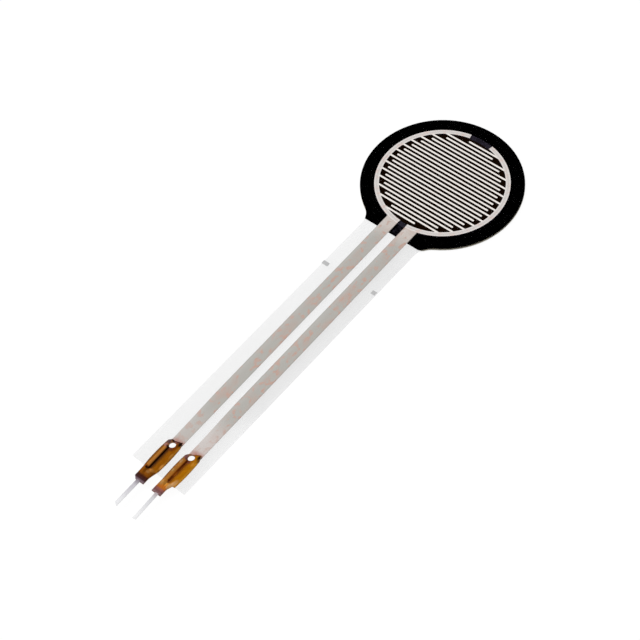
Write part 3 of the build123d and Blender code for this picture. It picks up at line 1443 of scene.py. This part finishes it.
    def _plate(self, x: float) -> Mesh:
        """Makes the plate, shoulder and shank as one closed formed sheet with its hole.

        Args:
            x: Where the trace's middle line is.

        Returns:
            The mesh.
        """
        shape = bmesh.new()
        paint = shape.verts.layers.float_color.new(TARNISH_AND_PAINTED_LIGHT)
        tops, feet = [], []
        for row in range(self.rows + 1):
            tops.append([])
            feet.append([])
            for column in range(self.columns + 1):
                share = 0.5 - 0.5 * math.cos(math.pi * column / self.columns)
                start = self._head_edge(share)
                reach = start + (self.shank_end - start) * row / self.rows
                left, right = self._edges(reach)
                u = left + (right - left) * share
                near = max(min(u - left, right - u, reach - start, self.shank_end - reach), 0)
                height = self._rise(u, reach, left, right) - self._eased(near)
                lip = math.hypot(u - self.hole_across, reach - self.hole_place) - self.hole_radius
                if lip > 0:
                    height -= self._eased(lip) * self.lip_share
                metal_colour = self._tarnish_and_painted_light(u, reach, left, right)
                top = shape.verts.new((x + u, -reach, self.film_top + height))
                foot = shape.verts.new((x + u, -reach, self.film_top + self.plate_lift))
                top[paint] = (*metal_colour, 1)
                # Painted light on the walls: each foot is painted towards the bead's lighter colour
                foot[paint] = (*blended(metal_colour, self.tarnish.bead, self.wall_light_share), 1)
                tops[row].append(top)
                feet[row].append(foot)
        self._fill(shape, tops, feet, x)
        return self._finished(shape, self.node + "_plate")

    def _eased(self, near: float) -> float:
        """Tells how far the rounding of an edge drops the surface at a distance from that edge."""
        return self.rim - math.sqrt(self.rim ** 2 - max(self.rim - near, 0) ** 2)

    def _fill(self, shape: bmesh.types.BMesh, tops: list, feet: list, x: float) -> None:
        """Lays faces over the grids, leaving the hole, and walls round both.

        Args:
            shape: The mesh under construction.
            tops: Rows of the upper face's points.
            feet: Rows of the lower face's points.
            x: Where the terminal's middle line is.
        """
        hole = Vector((x + self.hole_across, -self.hole_place))

        def inside(vert: bmesh.types.BMVert) -> bool:
            """Tells whether a point lies in the hole."""
            return (vert.co.xy - hole).length < self.hole_radius

        def around(row: int, column: int) -> tuple[tuple[int, int], ...]:
            """Gives the places of a cell's four corners."""
            return (row, column), (row + 1, column), (row + 1, column + 1), (row, column + 1)

        cells = [(row, column) for row in range(self.rows) for column in range(self.columns)]
        kept = {cell for cell in cells if any(not inside(tops[a][b]) for a, b in around(*cell))}
        for row, column in kept:
            corners = around(row, column)
            shape.faces.new([tops[a][b] for a, b in corners])
            shape.faces.new([feet[a][b] for a, b in reversed(corners)])
            for index, (dr, dc) in enumerate(((0, -1), (1, 0), (0, 1), (-1, 0))):
                if (row + dr, column + dc) in kept:
                    continue
                (a, b), (c, d) = corners[index], corners[(index + 1) % 4]
                shape.faces.new((tops[c][d], tops[a][b], feet[a][b], feet[c][d]))
        for grid in (tops, feet):
            for line in grid:
                for vert in line:
                    if inside(vert) and vert.link_faces:
                        vert.co.xy = hole + (vert.co.xy - hole).normalized() * self.hole_radius
        loose = [vert for vert in shape.verts if not vert.link_faces]
        bmesh.ops.delete(shape, geom=loose, context="VERTS")

    def _pin(self, x: float) -> Mesh:
        """Makes the pin, a sheared strip with eased edges, from inside the shank's end to its tip.

        Args:
            x: Where the trace's middle line is.

        Returns:
            The mesh.
        """
        form, look = self.forming, self.tarnish
        shape = bmesh.new()
        paint = shape.verts.layers.float_color.new(TARNISH_AND_PAINTED_LIGHT)
        section = self._pin_section()
        low, high = section[0][1], section[3][1]
        start = self.shank_end - self.pin_overlap
        turn = Matrix.Rotation(math.radians(form.pin_turn), 3, "Z")
        rings = []
        for step in range(self.pin_steps + 1):
            share = step / self.pin_steps
            metal_colour = blended(look.pin_root, look.pin_middle, ease(*self.pin_middle_stain, share))
            metal_colour = blended(metal_colour, look.pin_tip, ease(*self.pin_tip_stain, share))
            # Painted light: the walls are painted lighter than the upper face
            lit_wall = blended(metal_colour, (1, 1, 1), self.wall_light_gain)
            ring = []
            for across, up in section:
                from_right = (form.pin_width / 2 - across) / form.pin_width
                slanted = form.tip_slant * from_right * ease(self.tip_from, 1, share)
                length = self.pin_end - start - (self.pin_undercut if up == low else 0)
                local = turn @ Vector((across, slanted - length * share, 0))
                vert = shape.verts.new((x + form.pin_place + local.x, local.y - start, self.film_top + up))
                vert[paint] = (*(metal_colour if up > high - self.pin_easing / 2 else lit_wall), 1)
                ring.append(vert)
            rings.append(ring)
        for one, two in zip(rings, rings[1:]):
            for index in range(len(section)):
                after = (index + 1) % len(section)
                shape.faces.new((one[index], one[after], two[after], two[index]))
        shape.faces.new(rings[0][::-1])
        shape.faces.new(rings[-1])
        bmesh.ops.recalc_face_normals(shape, faces=shape.faces)
        return self._finished(shape, self.node + "_pin")

    def _pin_section(self) -> list[Pair]:
        """Draws the pin's section: a narrower foot, and an upper face with eased edges.

        Returns:
            Its points across and up, from the foot's left end round to its right end.
        """
        half = self.forming.pin_width / 2
        upper = self.sheet - self.clearance
        slope = self.pin_easing * self.pin_slope
        left = [
            (self.pin_undercut - half, self.clearance),
            (-half, upper - self.pin_easing),
            (slope - half, upper - slope),
            (self.pin_easing - half, upper),
            (2 * self.pin_easing - half, upper),
        ]
        return left + [(-across, up) for across, up in reversed(left)]

    def _finished(self, shape: bmesh.types.BMesh, name: str) -> Mesh:
        """Turns the mesh under construction into a smooth mesh.

        Args:
            shape: The mesh under construction.
            name: The mesh's name.

        Returns:
            The mesh.
        """
        shape.normal_update()
        for face in shape.faces:
            face.smooth = True
        for rim in shape.edges:
            if len(rim.link_faces) == 2 and rim.calc_face_angle() > self.smooth_angle:
                rim.smooth = False
        return kept_as(name, shape)

    def _tines(self, x: float, finish: Material) -> Mesh:
        """Grows the tines, which pass down through the films and fold in under them.

        Args:
            x: Where the terminal's middle line is.
            finish: The tines' material.

        Returns:
            The mesh.
        """
        draft = GrowthDraft("tines_" + self.side.name.lower())
        count = draft.input("Pairs", self.tine_count)
        pitch = draft.input("Pitch", self.tine_pitch)
        first = draft.input("First", -self.tine_first)
        spread = draft.input("Spread", self.tine_spread)
        sheet = draft.input("Sheet", self.sheet - 2 * self.clearance)
        length = draft.input("Length", self.tine_length)
        tine = draft.swept(self._tine_path(draft), sheet, length)
        start = draft.vector(spread, first, 0.0)
        points = draft.row(count, start, draft.vector(0.0, draft.times(pitch, -1.0), 0.0))
        row = draft.get("GeometryNodeInstanceOnPoints", {"Points": points, "Instance": tine})
        turned = draft.shifted(row, (0, 0, 0), (0, 0, math.pi))
        back = draft.minus(draft.times(first, 2.0), draft.times(pitch, draft.minus(count, 1.0)))
        other = draft.shifted(turned, draft.vector(0.0, back, 0.0))
        placed = draft.shifted(draft.join(row, other), (x, 0, 0))
        return draft.grow(draft.painted(placed, draft.input("Finish", finish)), self.node + "_tines")

    def _tine_path(self, draft: GrowthDraft) -> Socket:
        """Draws one tine's path: down through the films, then in under them.

        Args:
            draft: The tree.

        Returns:
            The path's socket.
        """
        top = draft.input("Top", self.film_top + self.tine_lift)
        under = draft.input("Foot Height", self.film_underside - self.sheet / 2)
        foot = draft.input("Foot Reach", self.foot_reach)
        index = draft.get("GeometryNodeInputIndex", {})
        line = draft.get("GeometryNodeCurvePrimitiveLine", {})
        three = draft.get("GeometryNodeResampleCurve", {"Curve": line, "Count": 3})
        at_top = draft.math("COMPARE", index, 0.0, 0.1)
        at_foot = draft.math("COMPARE", index, 2.0, 0.1)
        inward = draft.times(draft.times(foot, -1.0), at_foot)
        height = draft.plus(under, draft.times(draft.minus(top, under), at_top))
        bent = draft.moved(three, draft.vector(inward, 0.0, height))
        feeds = {"Curve": bent, "Radius": self.tine_bend, "Count": self.bend_steps}
        return draft.get("GeometryNodeFilletCurve", feeds, mode="POLY")


# Studio


@dataclass
class Studio:
    """A white floor and sky, one wide soft lamp, and the camera."""

    floor_half: float = 3.0
    floor_gap: float = 0.002 * MM
    floor_tone: float = 0.1
    floor_glow: float = 0.93
    sky: float = 0.6
    key_strength: float = 1.6
    clear_layers: int = 32
    key_from: Triple = (-0.75, -0.15, 0.64)
    key_spread: float = math.radians(50)
    lens: float = 111.2312
    sensor: float = 36.0
    nearest: float = 0.01
    farthest: float = 20.0
    eye: Triple = (83.28 * MM, -110.383 * MM, 171.315 * MM)
    look: tuple[Triple, Triple, Triple] = (
        (0.77682, -0.49098, 0.39431),
        (0.62753, 0.65573, -0.41980),
        (-0.05245, 0.57355, 0.81749),
    )

    def build(self) -> None:
        """Builds the studio."""
        bpy.context.scene.cycles.transparent_max_bounces = self.clear_layers
        self._floor()
        self._sky()
        self._key()
        self._camera()

    def _white_rays(self, draft: NodeDraft) -> Socket:
        """Finds the rays that show the background: those from the eye, and through or off a gloss.

        Args:
            draft: The tree that asks.

        Returns:
            A socket that is 1 for those rays and 0 for the light.
        """
        path = draft.add("ShaderNodeLightPath", {}).outputs
        seen = draft.math("MAXIMUM", path["Is Camera Ray"], path["Is Glossy Ray"])
        return draft.math("MAXIMUM", seen, path["Is Transmission Ray"])

    def _floor(self) -> None:
        """Makes the floor, white to the eye, which keeps the part's shadow."""
        mesh = bpy.data.meshes.new("floor")
        h = self.floor_half
        mesh.from_pydata([(-h, -h, 0), (h, -h, 0), (h, h, 0), (-h, h, 0)], [], [(0, 1, 2, 3)])
        floor = linked("floor", mesh)
        draft = FinishDraft("floor_paper")
        draft.set(
            Base_Color=(self.floor_tone, self.floor_tone, self.floor_tone, 1),
            Roughness=1.0,
            Specular_IOR_Level=0.0,
            Emission_Color=(1, 1, 1, 1),
            Emission_Strength=draft.times(self._white_rays(draft), self.floor_glow),
        )
        mesh.materials.append(draft.material)
        floor.location.z = -self.floor_gap

    def _sky(self) -> None:
        """Lights the part evenly from all round, before a white backdrop."""
        world = bpy.data.worlds.new("sky")
        world.use_nodes = True
        draft = NodeDraft(world.node_tree)
        background = world.node_tree.nodes["Background"]
        shown = self._white_rays(draft)
        strength = draft.plus(draft.times(shown, 1 - self.sky), self.sky)
        draft.feed(background.inputs["Color"], (1, 1, 1, 1))
        draft.feed(background.inputs["Strength"], strength)
        bpy.context.scene.world = world

    def _key(self) -> None:
        """Adds the wide soft lamp on the left."""
        lamp = bpy.data.lights.new("key", "SUN")
        lamp.energy = self.key_strength
        lamp.angle = self.key_spread
        key = linked("key", lamp)
        key.rotation_mode = "QUATERNION"
        key.rotation_quaternion = Vector(self.key_from).to_track_quat("Z", "Y")

    def _camera(self) -> None:
        """Sets the camera at the photograph's angle."""
        data = bpy.data.cameras.new("camera")
        data.lens = self.lens
        data.sensor_width = self.sensor
        data.clip_start = self.nearest
        data.clip_end = self.farthest
        camera = linked("camera", data)
        camera.matrix_world = Matrix.Translation(self.eye) @ Matrix(self.look).to_4x4()
        bpy.context.scene.camera = camera


def left_terminal() -> Terminal:
    """Describes the left terminal, the darker one, with a deep seam and a slanted tip.

    Returns:
        The terminal, ready to build.
    """
    forming = Forming(
        body_left=-0.88 * MM, body_right=0.97 * MM, left_corner=0.56 * MM, head_drop=0.16 * MM,
        seam_top=-0.14 * MM, seam_foot=-0.12 * MM, shank_left=-0.735 * MM, shank_right=0.64 * MM,
        shoulder_start=46.9 * MM, shoulder_end=48.35 * MM, shoulder_step=0.0, corner_cut=0.34 * MM,
        seam_depth=0.12 * MM, hook_angle=math.radians(115), pin_place=-0.01 * MM, pin_width=0.47 * MM,
        pin_turn=0.0, tip_slant=0.30 * MM,
    )
    black = srgb(20, 4, 1)
    tarnish = TarnishAndPaintedLight(
        bead=srgb(164, 106, 44), bead_side_shade=srgb(104, 60, 4), field=srgb(136, 78, 1), shade=srgb(40, 16, 0),
        rim=srgb(154, 100, 24), seam=srgb(58, 24, 3), head=srgb(52, 24, 22), head_share=0.8,
        bands=(
            Band(47.2, 47.5, srgb(104, 56, 2)),
            Band(48.1, 48.42, srgb(58, 24, 12)),
            Band(48.45, 48.65, srgb(56, 30, 30)),
            Band(48.72, 48.92, srgb(106, 87, 94)),
        ),
        patches=(
            Patch(-0.5, 43.75, 0.26, 0.36, srgb(80, 58, 60)),
            Patch(-0.5, 44.25, 0.22, 0.22, srgb(138, 96, 90), 0.9),
            Patch(0.48, 44.05, 0.2, 0.5, srgb(102, 44, 1), 0.85),
            Patch(-0.2, 44.25, 0.22, 0.16, srgb(34, 8, 7)),
            Patch(0.2, 44.4, 0.28, 0.2, srgb(84, 38, 16), 0.85),
            Patch(0.08, 44.28, 0.2, 0.08, srgb(98, 58, 52)),
            Patch(-0.22, 43.4, 0.2, 0.14, black),
            Patch(0.2, 43.4, 0.3, 0.16, srgb(100, 56, 46), 0.9),
            Patch(0.66, 43.36, 0.2, 0.4, black),
            # Painted highlight on the crown by the right edge
            Patch(0.8, 44.95, 0.12, 0.35, srgb(170, 116, 46), 0.8),
            Patch(0.88, 46.5, 0.16, 0.36, srgb(200, 138, 66), 0.85),
            Patch(-0.42, 47.26, 0.3, 0.16, srgb(112, 52, 0), 0.8),
            Patch(0.36, 47.4, 0.34, 0.2, srgb(140, 91, 36), 0.9),
            Patch(0.12, 47.72, 0.26, 0.18, srgb(112, 78, 38), 0.8),
        ),
        seam_patches=(),
        pin_root=srgb(146, 138, 146), pin_middle=srgb(198, 195, 201), pin_tip=srgb(232, 232, 234),
    )
    return Terminal(Side.LEFT, "left_terminal", forming, tarnish)


def right_terminal() -> Terminal:
    """Describes the right terminal, the paler one, with a shallow seam and a stepped shoulder.

    Returns:
        The terminal, ready to build.
    """
    forming = Forming(
        body_left=-0.81 * MM, body_right=0.98 * MM, left_corner=0.30 * MM, head_drop=0.80 * MM,
        seam_top=-0.08 * MM, seam_foot=-0.07 * MM, shank_left=-0.755 * MM, shank_right=0.38 * MM,
        shoulder_start=47.42 * MM, shoulder_end=48.2 * MM, shoulder_step=0.6, corner_cut=0.0,
        seam_depth=0.07 * MM, hook_angle=0.0, pin_place=-0.06 * MM, pin_width=0.41 * MM,
        pin_turn=1.8, tip_slant=0.0,
    )
    tarnish = TarnishAndPaintedLight(
        bead=srgb(154, 98, 34), bead_side_shade=srgb(122, 78, 32), field=srgb(161, 100, 1), shade=srgb(70, 28, 0),
        rim=srgb(178, 122, 30), seam=srgb(106, 46, 1), head=srgb(116, 66, 42), head_share=0.5,
        bands=(
            Band(47.35, 47.65, srgb(152, 98, 30)),
            Band(47.75, 48.05, srgb(154, 86, 24)),
            Band(48.26, 48.48, srgb(124, 75, 68)),
            Band(48.52, 48.7, srgb(106, 68, 66)),
            Band(48.72, 48.92, srgb(114, 84, 84)),
        ),
        patches=(
            Patch(-0.48, 43.98, 0.24, 0.32, srgb(94, 60, 62)),
            Patch(-0.28, 44.24, 0.22, 0.14, srgb(88, 52, 56)),
            Patch(0.12, 44.44, 0.26, 0.16, srgb(82, 40, 36), 0.9),
            Patch(0.65, 44.35, 0.12, 0.3, srgb(188, 126, 44), 0.8),
            Patch(0.86, 43.72, 0.14, 0.3, srgb(98, 62, 22), 0.8),
            Patch(0.68, 43.4, 0.16, 0.36, srgb(40, 18, 6)),
            Patch(-0.52, 44.78, 0.15, 0.26, srgb(140, 108, 74), 0.9),
            Patch(-0.5, 46.06, 0.14, 0.22, srgb(142, 110, 62), 0.9),
            Patch(0.72, 46.95, 0.2, 0.34, srgb(186, 138, 82), 0.75),
            Patch(0.62, 47.3, 0.2, 0.3, srgb(192, 148, 100), 0.85),
            Patch(0.5, 47.62, 0.26, 0.24, srgb(190, 150, 102), 0.8),
            Patch(-0.54, 47.8, 0.26, 0.36, srgb(132, 96, 52), 0.85),
            Patch(-0.12, 47.62, 0.2, 0.16, srgb(162, 112, 50), 0.7),
            Patch(0.42, 47.9, 0.22, 0.22, srgb(180, 140, 92), 0.7),
            Patch(0.5, 46.5, 0.3, 0.3, srgb(152, 94, 2), 0.5),
        ),
        seam_patches=(
            Patch(-0.07, 46.26, 0.14, 0.36, srgb(150, 80, 12), 0.75),
            Patch(-0.07, 47.14, 0.12, 0.1, srgb(84, 34, 1), 0.8),
        ),
        pin_root=srgb(178, 166, 169), pin_middle=srgb(210, 210, 213), pin_tip=srgb(236, 236, 237),
    )
    return Terminal(Side.RIGHT, "right_terminal", forming, tarnish)


def main() -> None:
    """Builds the part's pieces in order, then the studio."""
    logging.basicConfig(level=logging.INFO, format="%(message)s")
    bpy.context.scene.view_settings.view_transform = "Standard"
    Laminate().build()
    FlatPrints().build()
    fingers = SilverInk("finger_silver", srgb(253, 247, 241), srgb(244, 230, 221), 0.3).make()
    bus = SilverInk(
        "bus_silver", srgb(232, 226, 222), srgb(232, 204, 194), 0.6, arc=7.275 * MM, trough=0.2
    ).make()
    trace = TraceInk(
        "trace_silver", tone=srgb(187, 184, 178), over_black=srgb(214, 204, 197),
        far_left=srgb(200, 195, 190), far_right=srgb(216, 208, 204), blotch=srgb(202, 168, 154),
        scorch=srgb(192, 144, 132), centre=1.27 * MM, half_width=0.76 * MM, black_end=9.1 * MM,
        metal_start=43.2 * MM,
    ).make()
    for side, node, seed in ((Side.LEFT, "left_electrode", 3), (Side.RIGHT, "right_electrode", 8)):
        PrintedElectrode(side, node, seed).build(fingers, bus, trace)
    plate_metal = TerminalMetal(
        "tarnished_plate_with_painted_light", metallic=0.9, roughness=0.45, streak_share=0.12, bump_depth=0.004 * MM
    ).make()
    pin_metal = TerminalMetal(
        "tinned_pin", metallic=0.2, roughness=0.55, streak_share=0.02, bump_depth=0.0003 * MM
    ).make()
    tine_metal = GrainedStuff(
        "tine_plate", srgb(190, 186, 188), grain_size=0.08 * MM, grain_detail=4.0, stretch=(1, 1, 0.3),
        grain_range=(NOISE_LOW, NOISE_HIGH), shade=0.7, roughness=(0.25, 0.42), depth=0.004 * MM,
        metallic=0.9,
    ).make()
    for terminal in (left_terminal(), right_terminal()):
        terminal.build(plate_metal, pin_metal, tine_metal)
    Studio().build()


if __name__ == "__main__":
    main()
